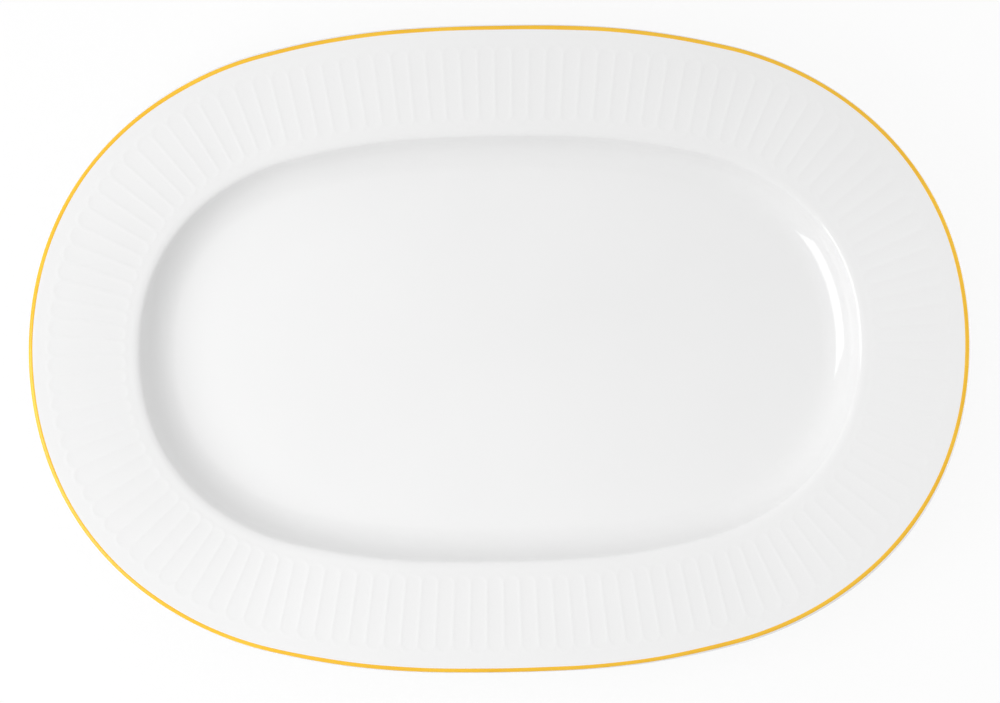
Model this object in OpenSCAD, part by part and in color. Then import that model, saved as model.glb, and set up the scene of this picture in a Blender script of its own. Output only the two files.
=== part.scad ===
// Oval china serving platter: a white body with a fluted rim, and a yellow line on its lip.
// Seen from above the outline is four arcs, and the whole section runs parallel to it.
// The origin is on the table, under the middle of the platter. X runs along its length.

/* [Outline] */
// Length over the lip
platter_length = 410; // [360:1:480]
// Width over the lip
platter_width = 282; // [272:1:330]
// Radius of the round ends
end_radius = 133; // [115:1:138]
// Height of the lip above the table
platter_height = 30; // [27:0.5:38]

/* [Body] */
// Thickness of the floor and the wall
body_thickness = 4.8; // [3.5:0.1:6]
// Thickness of the rounded lip
lip_thickness = 3.8; // [3:0.1:5]
// From the lip to the shoulder, where the rim starts to bend into the well
rim_width = 44.7; // [42:0.1:50]
// Slope of the rim in degrees
rim_slope = 11; // [8:0.5:13]
// Slope of the well's wall in degrees
wall_slope = 57; // [42:1:65]
// Radius of the shoulder between the rim and the wall
shoulder_radius = 7; // [6.5:0.5:12]
// Radius of the bend between the wall and the floor
well_radius = 14; // [10:1:20]

/* [Foot ring] */
// Height of the floor's underside above the table
foot_height = 3.2; // [2:0.1:4.5]
// Width of the standing edge
foot_width = 3; // [2:0.1:4.5]
// From the lip to the outside of the standing edge
foot_inset = 61; // [58:0.5:64]
// Bevel along both sides of the standing edge
foot_bevel = 0.8; // [0.4:0.1:1.2]

/* [Flutes] */
// Flutes in each quarter of the rim
quarter_flutes = 33; // [26:1:36]
// Depth of a flute
flute_depth = 0.35; // [0.2:0.05:0.5]
// Width of the ridge between two flutes
ridge_width = 0.7; // [0.5:0.1:1.5]
// From the lip to where the flutes' straight sides start
flute_start = 12.5; // [10:0.5:13]
// Length of the flutes' straight sides, seen from above
flute_run = 26; // [18:0.5:26]

/* [Rim line] */
// Width of the line, measured round the lip
line_width = 1.9; // [1:0.1:2.5]
// Thickness of the fired colour
line_thickness = 0.2; // [0.1:0.05:0.3]

/* [Hidden] */
$fn = 180;
china_white = "#f4f4f2";
line_yellow = "#f2bb3c";
// Largest turns between two points of a rounded stretch of the section, in degrees
arc_step = 12;
lip_step = 20;

// The outline's two kinds of arc: their centres lie on the X axis and on the Y axis.
// Where the ends are wider than the middle, the sides bow in and their radius is negative.
end_centre = platter_length / 2 - end_radius;
// How far the sides bow out past the round of the ends
side_bow = platter_width / 2 - end_radius;
side_centre = (end_centre^2 - side_bow^2) / (2 * side_bow);
side_radius = platter_width / 2 + side_centre;
// Direction from an end arc's centre to where its arc meets a side arc
join_angle = atan2(abs(side_centre), sign(side_bow) * end_centre);

// The section: x is negative inwards from the lip, and y is the height above the table.
function polar(angle) = [cos(angle), sin(angle)];
function arc(centre, radius, from, to, step = arc_step) =
    let (steps = ceil(abs(to - from) / step))
    [for (i = [0:steps]) centre + radius * polar(from + (to - from) * i / steps)];

top_angle = 90 + rim_slope;
wall_angle = 90 + wall_slope;
lip_radius = lip_thickness / 2;
lip_centre = [-lip_radius, platter_height - lip_radius];
lip_top = lip_centre + lip_radius * polar(top_angle);
line_angle = top_angle - line_width / lip_radius * 180 / PI;
function rim_height(x) = lip_top.y + (x - lip_top.x) * tan(rim_slope);
rim_end = [-rim_width, rim_height(-rim_width)];
shoulder_centre = rim_end - shoulder_radius * polar(top_angle);
shoulder_end = shoulder_centre + shoulder_radius * polar(wall_angle);
floor_top = foot_height + body_thickness;
wall_drop = shoulder_end.y - floor_top - well_radius * (1 - cos(wall_slope));
wall_end = shoulder_end - [wall_drop / tan(wall_slope), wall_drop];
well_centre = wall_end + well_radius * polar(wall_angle);
// The floor's section runs past the middle of the platter.
floor_reach = max(platter_width / 2, end_radius) + body_thickness;

// The rim's underside touches the lip's round and the shoulder's inner round, so the rim tapers.
under_shoulder = shoulder_radius - body_thickness;
lip_span = lip_centre - shoulder_centre;
under_slope = acos((lip_radius + under_shoulder) / norm(lip_span)) - atan2(lip_span.x, lip_span.y);

// Flutes are evenly spaced along the oval through the middle of their length.
flute_middle = flute_start + flute_run / 2;
end_length = (end_radius - flute_middle) * join_angle * PI / 180;
side_length = (side_radius - flute_middle) * (90 - join_angle) * PI / 180;
flute_pitch = (end_length + side_length) / quarter_flutes;

// A flute is a shallow cut by a cone that widens with the pitch, so the ridges keep their width.
flute_half = (flute_pitch - ridge_width) / 2;
cone_middle = (flute_half^2 + flute_depth^2) / (2 * flute_depth);
// Half the angle that a cutter takes up about its axis: it stays clear of the next one.
cutter_spread = atan((flute_half + ridge_width / 4) / (cone_middle - flute_depth));

module body_section() {
    under_well = well_radius + body_thickness;
    polygon(concat(
        [[-floor_reach, foot_height]],
        arc(well_centre, under_well, 270, 270 + wall_slope),
        arc(shoulder_centre, under_shoulder, wall_angle, 90 + under_slope),
        arc(lip_centre, lip_radius, under_slope - 90, line_angle, lip_step),
        arc(lip_centre, lip_radius, line_angle, top_angle, lip_step),
        arc(shoulder_centre, shoulder_radius, top_angle, wall_angle),
        arc(well_centre, well_radius, 270 + wall_slope, 270),
        [[-floor_reach, floor_top]]
    ));
    foot_section();
}

module foot_section() {
    outside = -foot_inset;
    inside = outside - foot_width;
    // The ring is one with the floor, so its top lies inside it.
    top = foot_height + body_thickness / 2;
    polygon([
        [inside, 0],
        [outside, 0],
        [outside + foot_bevel, foot_bevel],
        [outside + foot_bevel, top],
        [inside - foot_bevel, top],
        [inside - foot_bevel, foot_bevel]
    ]);
}

module line_section() {
    polygon(concat(
        arc(lip_centre, lip_radius, line_angle, top_angle, lip_step),
        arc(lip_centre, lip_radius + line_thickness, top_angle, line_angle, lip_step)
    ));
}

// Turns a section about the centre of an arc, up to that centre.
module turn_section(arc_radius, from, to) {
    rotate_extrude(angle = to - from, start = from)
        intersection() {
            translate([arc_radius, 0])
                children();
            translate([min(0, 2 * arc_radius), -platter_height])
                square([2 * abs(arc_radius), 3 * platter_height]);
        }
}

module quarter_sweep() {
    translate([end_centre, 0, 0])
        turn_section(end_radius, 0, join_angle)
            children();
    translate([0, -side_centre, 0])
        turn_section(side_radius, join_angle, 90)
            children();
}

module four_quarters() {
    for (x = [0, 1], y = [0, 1])
        mirror([x, 0, 0])
            mirror([0, y, 0])
                children();
}

module flute_cutter(arc_radius) {
    rim_slant = (arc_radius - flute_middle) / cos(rim_slope);
    tip = rim_slant * ridge_width / flute_pitch;
    slant = rim_slant - tip;
    lift = atan((cone_middle - flute_depth) / slant);
    half_run = flute_run / 2 / cos(rim_slope);
    // Each end rises from the flute's depth to as much above the rim.
    rise_run = 2 * flute_half;
    along = [
        slant - half_run - rise_run,
        slant - half_run,
        slant + half_run,
        slant + half_run + rise_run
    ] / cos(lift);
    depths = flute_depth * [-1, 1 - half_run / slant, 1 + half_run / slant, -1];
    reaches = [for (i = [0:3]) along[i] * tan(lift) + depths[i]];
    translate([0, 0, rim_height(-arc_radius)])
        rotate([0, -rim_slope, 0])
            translate([tip, 0, 0])
                rotate([0, 90 - lift, 0])
                    rotate_extrude(angle = 2 * cutter_spread, start = -cutter_spread)
                        polygon([
                            [0, along[0]],
                            for (i = [0:3]) [reaches[i], along[i]],
                            [0, along[3]]
                        ]);
}

module quarter_cutters() {
    for (i = [0:quarter_flutes - 1]) {
        along = (i + 0.5) * flute_pitch;
        on_end = along < end_length;
        turn = on_end
            ? join_angle * along / end_length
            : join_angle + (90 - join_angle) * (along - end_length) / side_length;
        translate(on_end ? [end_centre, 0, 0] : [0, -side_centre, 0])
            rotate([0, 0, turn])
                flute_cutter(on_end ? end_radius : side_radius);
    }
}

module platter_body() {
    color(china_white)
        four_quarters()
            difference() {
                quarter_sweep() body_section();
                quarter_cutters();
            }
}

module rim_line() {
    color(line_yellow)
        four_quarters()
            quarter_sweep() line_section();
}

platter_body();
rim_line();
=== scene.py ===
"""Looks of the oval china platter: the glazed body with its fluted rim, and the yellow line on its lip.

Sizes are in millimetres until a mesh is made. The section is measured inwards from the lip.
"""

import math
from collections import namedtuple

import bpy
import numpy as np
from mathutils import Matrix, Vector


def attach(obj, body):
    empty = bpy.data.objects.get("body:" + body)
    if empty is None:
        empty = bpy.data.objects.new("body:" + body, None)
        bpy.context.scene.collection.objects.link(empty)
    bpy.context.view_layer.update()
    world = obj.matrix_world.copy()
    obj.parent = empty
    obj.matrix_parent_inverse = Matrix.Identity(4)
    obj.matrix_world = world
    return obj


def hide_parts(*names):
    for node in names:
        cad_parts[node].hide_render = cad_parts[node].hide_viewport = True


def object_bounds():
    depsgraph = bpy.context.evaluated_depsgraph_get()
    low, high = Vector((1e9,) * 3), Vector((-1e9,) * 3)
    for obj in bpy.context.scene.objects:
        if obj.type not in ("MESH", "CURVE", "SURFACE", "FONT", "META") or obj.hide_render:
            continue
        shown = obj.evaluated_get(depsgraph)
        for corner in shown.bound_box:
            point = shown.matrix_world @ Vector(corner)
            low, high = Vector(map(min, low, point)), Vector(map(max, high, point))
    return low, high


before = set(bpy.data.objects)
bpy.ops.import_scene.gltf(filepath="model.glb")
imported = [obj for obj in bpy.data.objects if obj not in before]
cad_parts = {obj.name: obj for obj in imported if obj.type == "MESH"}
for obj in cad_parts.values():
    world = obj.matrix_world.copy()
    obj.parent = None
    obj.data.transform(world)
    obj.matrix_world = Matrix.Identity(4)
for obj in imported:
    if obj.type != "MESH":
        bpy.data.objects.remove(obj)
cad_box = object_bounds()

MM = 0.001
# Direction straight down in the section
DOWN = 1.5 * math.pi

# Outline: four arcs, whose centres lie on the X axis and on the Y axis, and how far each quarter swells
# in its middle and halfway from there to its ends
platter_length = (cad_box[1][0] - cad_box[0][0]) / MM
platter_width = (cad_box[1][1] - cad_box[0][1]) / MM
end_radius = 133.0
middle_swell = 0.5
halfway_swell = 0.92
end_centre = platter_length / 2 - end_radius
side_bow = platter_width / 2 - end_radius
side_centre = (end_centre**2 - side_bow**2) / (2 * side_bow)
side_radius = platter_width / 2 + side_centre
join_angle = math.atan2(side_centre, end_centre)

# Section of the body
platter_height = 30.0
lip_radius = 1.9
rim_slope = math.radians(11)
wall_slope = math.radians(65)
shoulder_start = 44.5
ease_radius = 10.0
ease_slope = math.radians(25)
shoulder_radius = 3.0
well_radius = 15.0
floor_top = 8.0
body_thickness = 4.8
wall_thickness = 4.3

# Foot ring, with a bare standing edge
foot_height = 3.2
foot_outside = 61.0
foot_inside = 64.0
foot_round = 0.8
foot_fillet = 0.9
bare_height = 0.5

# Flutes: straight between their two arched ends, and evenly spaced along the oval through their middle
flute_count = 132
flute_start = 12.65
flute_end = 38.65
flute_depth = 0.065
ridge_height = 0.065
ridge_softness = 0.8
flute_middle = (flute_start + flute_end) / 2
end_length = (end_radius - flute_middle) * join_angle
side_length = (side_radius - flute_middle) * (math.pi / 2 - join_angle)
quarter_length = end_length + side_length
flute_pitch = 4 * quarter_length / flute_count

# Yellow line: how far in from the lip's outermost point it starts, and its width seen from above
line_inset = 0.44
line_width = 1.94
line_thickness = 0.09
# How deep the line's edges and its hidden back lie in the glaze
edge_sink = 0.02
back_sink = 0.06
# The brush's waves, each with a count round the oval, a size and a start
drift_waves = ((1, 0.14, 1.6), (2, 0.18, 3.0), (3, 0.12, 2.8), (4, 0.09, 4.4))
outer_waves = ((11, 0.02, 2.2), (29, 0.015, 0.7))
inner_waves = ((6, 0.05, 0.3), (13, 0.04, 1.9), (31, 0.03, 2.8))

# Columns of the mesh within one flute, from ridge to ridge, closest together at the ridges
FLUTE_COLUMNS = np.array([0, 0.05, 0.11, 0.19, 0.29, 0.39, 0.5, 0.61, 0.71, 0.81, 0.89, 0.95])
PER_FLUTE = len(FLUTE_COLUMNS)
ALL_COLUMNS = range(PER_FLUTE)
MAIN_COLUMNS = (0, 4, 6, 8)
FEW_COLUMNS = (0, 6)
RIDGE_COLUMNS = (0,)
# Rows across the rim, as insets: close together over the flutes' arched ends, and plain outside them
INNER_ROWS = np.linspace(44.4, 37.8, 15)
STRAIGHT_ROWS = np.linspace(34, 17, 4)
OUTER_ROWS = np.linspace(13.6, 6.4, 16)
PLAIN_ROWS = (5.0, 3.4)
# Rings of the two flat middles: how far each is shrunk from the flat's edge, and its columns
MIDDLE_RINGS = ((0.2, RIDGE_COLUMNS), (0.45, RIDGE_COLUMNS), (0.7, FEW_COLUMNS), (0.88, FEW_COLUMNS))
# Places of the glaze and of the bare biscuit among the body's materials
GLAZED, BARE = 0, 1


def polar(angle):
    return np.array([math.cos(angle), math.sin(angle)])


def arc(centre, radius, first, last, steps):
    """Points of a section's round, with its angles in radians."""
    return [centre + radius * polar(first + (last - first) * i / steps) for i in range(steps + 1)]


# The section's points: x is negative inwards from the lip, and y is the height above the table.
top_angle = math.pi / 2 + rim_slope
wall_angle = math.pi / 2 + wall_slope
lip_centre = np.array([-lip_radius, platter_height - lip_radius])
lip_top = lip_centre + lip_radius * polar(top_angle)


def rim_top(inset):
    return lip_top[1] - (inset + lip_top[0]) * math.tan(rim_slope)


# The rim eases over into the shoulder's tighter round.
ease_angle = math.pi / 2 + ease_slope
ease_centre = np.array([-shoulder_start, rim_top(shoulder_start)]) - ease_radius * polar(top_angle)
shoulder_centre = ease_centre + (ease_radius - shoulder_radius) * polar(ease_angle)
shoulder_end = shoulder_centre + shoulder_radius * polar(wall_angle)
wall_drop = shoulder_end[1] - floor_top - well_radius * (1 - math.cos(wall_slope))
wall_end = shoulder_end - polar(wall_slope) * wall_drop / math.sin(wall_slope)
well_centre = wall_end + well_radius * polar(wall_angle)
floor_edge = -well_centre[0]
# Insets of a ring just inside the floor's edge, and of the edge of its flat middle
floor_ring = floor_edge + 2
flat_edge = floor_edge + 8
# The rim's underside touches the lip's round and the fillet behind the shoulder, so the rim tapers.
under_radius = 1.0
under_centre = shoulder_end - (wall_thickness + under_radius) * polar(wall_angle)
under_span = lip_centre - under_centre
under_slope = math.acos((lip_radius + under_radius) / math.hypot(*under_span)) - math.atan2(*under_span)
under_angle = math.pi / 2 + under_slope


def outline(along):
    """Lip points, outward directions and arc radii.

    Distances are along the oval through the flutes' middle.
    """
    quarter = np.floor_divide(along, quarter_length).astype(int) % 4
    local = np.mod(along, quarter_length)
    local = np.where(quarter % 2 == 1, quarter_length - local, local)
    on_end = local < end_length
    end_angle = local / (end_radius - flute_middle)
    side_angle = join_angle + (local - end_length) / (side_radius - flute_middle)
    angle = np.where(on_end, end_angle, side_angle)
    radius = np.where(on_end, end_radius, side_radius)
    flip_x = np.where((quarter == 1) | (quarter == 2), -1, 1)
    flip_y = np.where(quarter >= 2, -1, 1)
    sign = np.stack([flip_x, flip_y], axis=1)
    outward = np.stack([np.cos(angle), np.sin(angle)], axis=1)
    centre = np.stack([np.where(on_end, end_centre, 0), np.where(on_end, 0, -side_centre)], axis=1)
    turn = math.pi * along / quarter_length
    swell = middle_swell * np.sin(turn) ** 2 + halfway_swell * np.sin(2 * turn) ** 2
    return (centre + (radius + swell)[:, None] * outward) * sign, outward * sign, radius


def relief(columns, inset, radius):
    """Height of the fluted relief over the plain rim: shallow hollows between soft ridges."""
    pitch = flute_pitch * (radius - inset) / (radius - flute_middle)
    across = (FLUTE_COLUMNS[columns % PER_FLUTE] - 0.5) * pitch
    past_end = max(0, flute_start - inset, inset - flute_end)
    from_spine = np.hypot(across, past_end)
    from_ridge = from_spine - pitch / 2
    hollow = flute_depth * np.clip(1 - (2 * from_spine / pitch) ** 2, 0, None)
    return ridge_height * np.exp(-((from_ridge / ridge_softness) ** 2)) - hollow


def new_piece(name, points, faces, materials):
    """A smooth object, from points in millimetres."""
    mesh = bpy.data.meshes.new(name)
    mesh.from_pydata([tuple(point * MM) for point in points], [], faces)
    mesh.shade_smooth()
    for material in materials:
        mesh.materials.append(material)
    made = bpy.data.objects.new(name, mesh)
    bpy.context.scene.collection.objects.link(made)
    return made


# A ring of the body's skin: the number of its first point, its columns and its height
Ring = namedtuple("Ring", "first columns height")


class Shell:
    """A closed skin of rings along the oval.

    They run from the middle of the top, over the lip, to the middle of the underside.
    """

    def __init__(self):
        self.points = []
        self.rings = []
        self.faces = []
        self.finishes = []
        self.finish = GLAZED

    def add(self, inset, height, kept, fluted=False, shrink=1.0):
        columns = np.array([f * PER_FLUTE + c for f in range(flute_count) for c in kept])
        along = (columns // PER_FLUTE + FLUTE_COLUMNS[columns % PER_FLUTE]) * flute_pitch
        lip, outward, radius = outline(along)
        flat = (lip - inset * outward) * shrink
        up = height + (relief(columns, inset, radius) if fluted else np.zeros(len(columns)))
        ring = Ring(len(self.points), columns, height)
        self.points.extend(np.column_stack([flat, up]))
        if self.rings:
            self.bridge(self.rings[-1], ring)
        else:
            self.cap(ring, 1)
        self.rings.append(ring)

    def follow(self, points, kept):
        for point in points:
            self.add(-point[0], point[1], kept)

    def face(self, corners):
        self.faces.append(corners)
        self.finishes.append(self.finish)

    def cap(self, ring, step):
        """Closes the skin across a ring: it faces up where step is 1, and down where step is -1."""
        self.face([ring.first + i for i in range(len(ring.columns))][::step])

    def bridge(self, inner, outer):
        """Joins two rings, of which one may have fewer columns."""
        coarse, fine = sorted((inner, outer), key=lambda ring: len(ring.columns))
        places = np.searchsorted(fine.columns, coarse.columns)
        for k in range(len(places)):
            begin = places[k]
            end = places[k + 1] if k + 1 < len(places) else len(fine.columns)
            near = [fine.first + i % len(fine.columns) for i in range(begin, end + 1)]
            far = [coarse.first + k, coarse.first + (k + 1) % len(places)]
            self.face([far[0], *near, far[1]] if coarse is inner else [*near[::-1], *far])


def make_body(materials):
    shell = Shell()
    add_well(shell)
    add_rim(shell)
    add_underside(shell)
    add_foot(shell)
    made = new_piece("china_body", shell.points, shell.faces, materials)
    made.data.polygons.foreach_set("material_index", shell.finishes)
    return made


def add_well(shell):
    """The floor from its middle outwards, the wall and the shoulder."""
    for shrink, kept in MIDDLE_RINGS:
        shell.add(flat_edge, floor_top, kept, shrink=shrink)
    for inset in (flat_edge, floor_ring):
        shell.add(inset, floor_top, MAIN_COLUMNS)
    shell.follow(arc(well_centre, well_radius, DOWN, DOWN + wall_slope, steps=12), MAIN_COLUMNS)
    shell.follow(arc(shoulder_centre, shoulder_radius, wall_angle, ease_angle, steps=8), MAIN_COLUMNS)
    shell.follow(arc(ease_centre, ease_radius, ease_angle, top_angle, steps=5)[1:], MAIN_COLUMNS)


def add_rim(shell):
    """The rim, with fine rows at the flutes' arched ends and few where they run straight, and the lip."""
    for inset in (*INNER_ROWS, *STRAIGHT_ROWS, *OUTER_ROWS):
        shell.add(inset, rim_top(inset), ALL_COLUMNS, fluted=True)
    for inset in PLAIN_ROWS:
        shell.add(inset, rim_top(inset), MAIN_COLUMNS)
    last_angle = under_slope - math.pi / 2
    shell.follow(arc(lip_centre, lip_radius, top_angle, last_angle, steps=16), MAIN_COLUMNS)


def add_underside(shell):
    """The underside of the rim and of the wall, down to the foot ring."""
    under_start = lip_centre - lip_radius * polar(under_angle)
    under_end = under_centre + under_radius * polar(under_angle)
    for share in (0.15, 0.4, 0.7, 0.92):
        shell.follow([under_start + (under_end - under_start) * share], MAIN_COLUMNS)
    shell.follow(arc(under_centre, under_radius, under_angle, wall_angle, steps=6), MAIN_COLUMNS)
    under_well = well_radius + body_thickness
    foot_root = -(foot_outside - foot_round - foot_fillet)
    last_angle = 2 * math.pi - math.acos((foot_root - well_centre[0]) / under_well)
    shell.follow(arc(well_centre, under_well, DOWN + wall_slope, last_angle, steps=8), MAIN_COLUMNS)


def add_foot(shell):
    """The foot ring, from its outside to its inside, and the underside's floor."""
    outer_side = foot_outside - foot_round
    inner_side = foot_inside + foot_round
    root_height = shell.rings[-1].height
    outer_fillet = np.array([-outer_side + foot_fillet, root_height - foot_fillet])
    shell.follow(arc(outer_fillet, foot_fillet, math.pi / 2, math.pi, steps=4)[1:], FEW_COLUMNS)
    outer_round = np.array([-foot_outside, foot_round])
    inner_round = np.array([-foot_inside, foot_round])
    standing_edge = arc(outer_round, foot_round, 0, -math.pi / 2, steps=5)
    standing_edge += arc(inner_round, foot_round, -math.pi / 2, -math.pi, steps=5)
    for point in standing_edge:
        shell.finish = BARE if point[1] < bare_height else GLAZED
        shell.add(-point[0], point[1], FEW_COLUMNS)
    shell.finish = GLAZED
    inner_fillet = np.array([-inner_side - foot_fillet, foot_height - foot_fillet])
    shell.follow(arc(inner_fillet, foot_fillet, 0, math.pi / 2, steps=4), FEW_COLUMNS)
    past_fillet = inner_side + 3
    for inset in (past_fillet, flat_edge):
        shell.add(inset, foot_height, FEW_COLUMNS)
    for shrink, kept in reversed(MIDDLE_RINGS):
        shell.add(flat_edge, foot_height, kept, shrink=shrink)
    shell.cap(shell.rings[-1], -1)


def brush(turns, waves):
    """How far a painted edge strays inwards."""
    return sum(size * np.sin(count * turns + start) for count, size, start in waves)


def make_line(materials):
    """The fired-on line: a thin closed band over the lip's round, as a brush leaves it."""
    columns = 4 * flute_count
    across = 8
    lip, outward, _ = outline(np.arange(columns) * flute_pitch / 4)
    turns = np.arange(columns) * 2 * math.pi / columns
    drift = brush(turns, drift_waves)
    outer = line_inset + drift + brush(turns, outer_waves)
    inner = line_inset + line_width + drift + brush(turns, inner_waves)
    profile = []
    for share in np.linspace(0, 1, across + 1):
        rise = line_thickness * (1 - (2 * share - 1) ** 4) - edge_sink
        profile.append((outer + (inner - outer) * share, rise))
    profile.append((inner, -back_sink))
    profile.append((outer, -back_sink))
    points, faces = [], []
    for inset, rise in profile:
        angle = np.arccos(np.maximum(1 - inset / lip_radius, math.cos(top_angle)))
        on_rim = np.maximum(inset + lip_top[0], 0)
        across_lip = lip_radius - (lip_radius + rise) * np.cos(angle) + on_rim
        height = lip_centre[1] + (lip_radius + rise) * np.sin(angle) - on_rim * math.tan(rim_slope)
        points.extend(np.column_stack([lip - across_lip[:, None] * outward, height]))
    rows = len(profile)
    for row in range(rows):
        here, there = row * columns, (row + 1) % rows * columns
        for column in range(columns):
            beside = (column + 1) % columns
            faces.append([here + column, here + beside, there + beside, there + column])
    return new_piece("yellow_line", points, faces, materials)


def new_material(name):
    material = bpy.data.materials.new(name)
    material.use_nodes = True
    return material, material.node_tree, material.node_tree.nodes["Principled BSDF"]


def node(tree, kind, **values):
    made = tree.nodes.new(kind)
    for key, value in values.items():
        made.inputs[key].default_value = value
    return made


def maths(tree, operation, *terms):
    """A Math node whose terms are sockets or numbers."""
    made = tree.nodes.new("ShaderNodeMath")
    made.operation = operation
    for place, term in zip(made.inputs, terms):
        if isinstance(term, (int, float)):
            place.default_value = term
        else:
            tree.links.new(term, place)
    return made.outputs[0]


def noise(tree, scale, detail):
    made = node(tree, "ShaderNodeTexNoise", Scale=scale, Detail=detail)
    where = tree.nodes.new("ShaderNodeTexCoord").outputs["Object"]
    tree.links.new(where, made.inputs["Vector"])
    return made.outputs[0]


def ramp(tree, source, stops):
    made = tree.nodes.new("ShaderNodeValToRGB")
    for element, (place, colour) in zip(made.color_ramp.elements, stops):
        element.position = place
        element.color = (*colour, 1)
    tree.links.new(source, made.inputs[0])
    return made.outputs[0]


def bump(tree, source, strength, distance):
    made = node(tree, "ShaderNodeBump", Strength=strength, Distance=distance)
    tree.links.new(source, made.inputs["Height"])
    return made.outputs[0]


def glaze():
    material, tree, shader = new_material("china_glaze")
    cloud = noise(tree, scale=9, detail=3)
    fine = noise(tree, scale=160, detail=2)
    tint = ramp(tree, cloud, [(0.35, (0.845, 0.845, 0.845)), (0.65, (0.86, 0.86, 0.86))])
    tree.links.new(tint, shader.inputs["Base Color"])
    shine = ramp(tree, fine, [(0.3, (0.015,) * 3), (0.7, (0.035,) * 3)])
    tree.links.new(shine, shader.inputs["Roughness"])
    tree.links.new(bump(tree, fine, strength=0.05, distance=0.0004), shader.inputs["Normal"])
    shader.inputs["IOR"].default_value = 1.5
    return material


def biscuit():
    material, tree, shader = new_material("bare_biscuit")
    cloud = noise(tree, scale=60, detail=4)
    grain = noise(tree, scale=2200, detail=2)
    tint = ramp(tree, cloud, [(0.3, (0.72, 0.69, 0.63)), (0.7, (0.8, 0.77, 0.72))])
    tree.links.new(tint, shader.inputs["Base Color"])
    shine = ramp(tree, grain, [(0.3, (0.7,) * 3), (0.7, (0.9,) * 3)])
    tree.links.new(shine, shader.inputs["Roughness"])
    tree.links.new(bump(tree, grain, strength=0.3, distance=0.0001), shader.inputs["Normal"])
    return material


def enamel():
    material, tree, shader = new_material("yellow_enamel")
    cloud = noise(tree, scale=30, detail=4)
    tint = ramp(tree, cloud, [(0.35, (0.88, 0.485, 0.014)), (0.65, (0.93, 0.545, 0.026))])
    tree.links.new(tint, shader.inputs["Base Color"])
    shine = ramp(tree, cloud, [(0.3, (0.2,) * 3), (0.7, (0.3,) * 3)])
    tree.links.new(shine, shader.inputs["Roughness"])
    return material


body = make_body([glaze(), biscuit()])
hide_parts("platter_body")
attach(body, "root")
line = make_line([enamel()])
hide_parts("rim_line")
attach(line, "root")

# Camera: straight above, with a long lens, and turned and moved a little as in the photo
PHOTO_WIDTH = 1000
MM_PER_PIXEL = 0.4346
SENSOR_WIDTH = 36
camera_shift = (0.6 * MM_PER_PIXEL * MM, -2.8 * MM_PER_PIXEL * MM)
camera_roll = -0.017
camera_height = 1.9
camera_data = bpy.data.cameras.new("camera")
camera_data.sensor_width = SENSOR_WIDTH
lip_distance = camera_height - platter_height * MM
camera_data.lens = SENSOR_WIDTH * lip_distance / (PHOTO_WIDTH * MM_PER_PIXEL * MM)
camera = bpy.data.objects.new("camera", camera_data)
camera.location = (*camera_shift, camera_height)
camera.rotation_euler = (0, 0, camera_roll)
bpy.context.scene.collection.objects.link(camera)
bpy.context.scene.camera = camera

# Floor: half its side in metres, its own grey, and how much of a plain white backdrop shows over it
floor_half = 9
floor_grey = 0.9
floor_white = 0.88
# Light of the room: its level, and how it grows towards a direction
sky_level = 0.765
sky_tilt = (-0.05, 0.19, 0.0)
# Lights, in metres: name, place, size, power in watts, whether it fades towards its edges, and whether
# it shows in the glaze
STUDIO_LIGHTS = (
    ("window_left", (-0.68, -0.225, 0.53), (0.62, 0.55), 3.6, False, True),
    ("overhead", (0.0, 0.0, 2.2), (0.9, 0.9), 0.71, True, True),
    ("low_right", (0.62, 0.0, 0.02), (0.5, 0.035), 0.7, False, False),
)


def fading(tree):
    """Makes an area light fade from its middle to its edges."""
    split = tree.nodes.new("ShaderNodeSeparateXYZ")
    tree.links.new(tree.nodes.new("ShaderNodeNewGeometry").outputs["Parametric"], split.inputs[0])
    falls = []
    for axis in (0, 1):
        centred = maths(tree, "MULTIPLY_ADD", split.outputs[axis], 2, -1)
        falls.append(maths(tree, "SUBTRACT", 1, maths(tree, "MULTIPLY", centred, centred)))
    tree.links.new(maths(tree, "MULTIPLY", *falls), tree.nodes["Emission"].inputs["Strength"])


def softbox(name, place, size, power, fades, shows):
    data = bpy.data.lights.new(name, "AREA")
    data.shape = "RECTANGLE"
    data.size, data.size_y = size
    data.energy = power
    if fades:
        data.use_nodes = True
        fading(data.node_tree)
    made = bpy.data.objects.new(name, data)
    made.visible_glossy = shows
    made.location = place
    made.rotation_euler = (-Vector(place)).to_track_quat("-Z", "Y").to_euler()
    bpy.context.scene.collection.objects.link(made)


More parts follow.
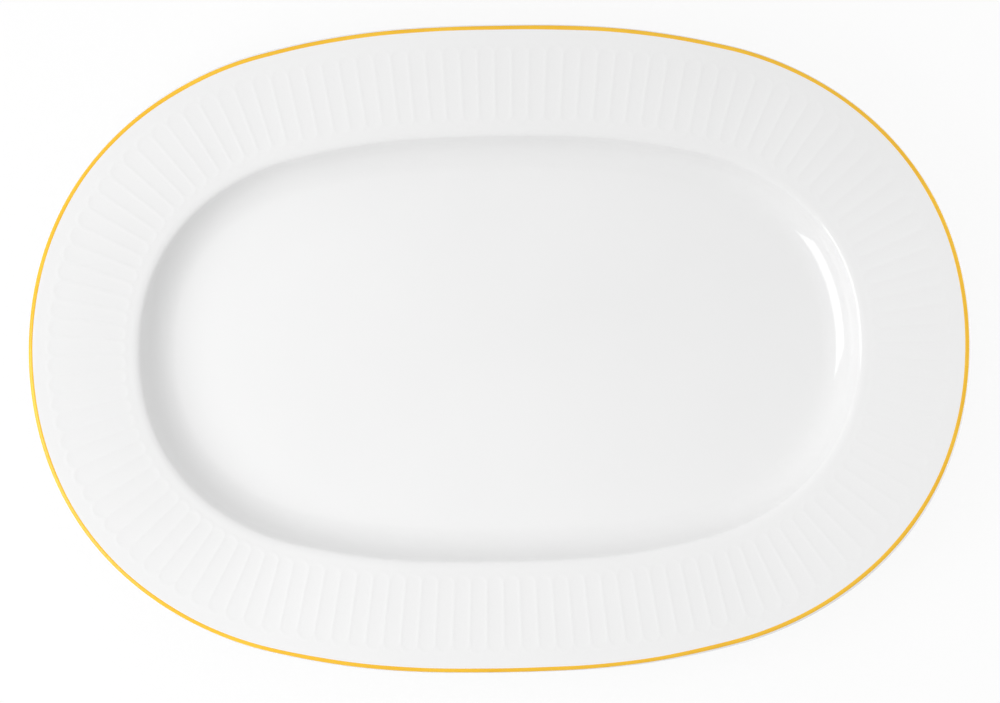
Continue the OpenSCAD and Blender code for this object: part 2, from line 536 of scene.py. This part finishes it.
def seen(tree):
    """1 on rays that show the background: the camera's, and those of reflections and clear pieces."""
    path = tree.nodes.new("ShaderNodeLightPath")
    shown = maths(tree, "ADD", path.outputs["Is Camera Ray"], path.outputs["Is Glossy Ray"])
    shown = maths(tree, "ADD", shown, path.outputs["Is Transmission Ray"])
    return maths(tree, "MINIMUM", shown, 1)


def mixed(tree, share, first, second, output):
    """Mixes two shaders by a share, into an output node."""
    mix = tree.nodes.new("ShaderNodeMixShader")
    tree.links.new(share, mix.inputs[0])
    tree.links.new(first, mix.inputs[1])
    tree.links.new(second, mix.inputs[2])
    tree.links.new(mix.outputs[0], tree.nodes[output].inputs[0])


def make_room():
    world = bpy.data.worlds.new("studio")
    world.use_nodes = True
    tree = world.node_tree
    sky = tree.nodes["Background"]
    sky.inputs["Color"].default_value = (1, 1, 1, 1)
    lean = tree.nodes.new("ShaderNodeVectorMath")
    lean.operation = "DOT_PRODUCT"
    lean.inputs[1].default_value = sky_tilt
    tree.links.new(tree.nodes.new("ShaderNodeTexCoord").outputs["Generated"], lean.inputs[0])
    tree.links.new(maths(tree, "ADD", lean.outputs["Value"], sky_level), sky.inputs["Strength"])
    white = node(tree, "ShaderNodeBackground", Color=(1, 1, 1, 1), Strength=1.0)
    mixed(tree, seen(tree), sky.outputs[0], white.outputs[0], "World Output")
    bpy.context.scene.world = world


def make_floor():
    mesh = bpy.data.meshes.new("floor")
    corners = [(floor_half * x, floor_half * y, 0) for x, y in ((-1, -1), (1, -1), (1, 1), (-1, 1))]
    mesh.from_pydata(corners, [], [(0, 1, 2, 3)])
    made = bpy.data.objects.new("floor", mesh)
    bpy.context.scene.collection.objects.link(made)
    material, tree, shader = new_material("floor")
    shader.inputs["Base Color"].default_value = (floor_grey, floor_grey, floor_grey, 1)
    shader.inputs["Roughness"].default_value = 1
    white = node(tree, "ShaderNodeEmission", Strength=1.0)
    share = maths(tree, "MULTIPLY", seen(tree), floor_white)
    mixed(tree, share, shader.outputs[0], white.outputs[0], "Material Output")
    mesh.materials.append(material)
    return made


for light in STUDIO_LIGHTS:
    softbox(*light)
make_room()
make_floor()

bpy.context.scene.view_settings.view_transform = "Standard"
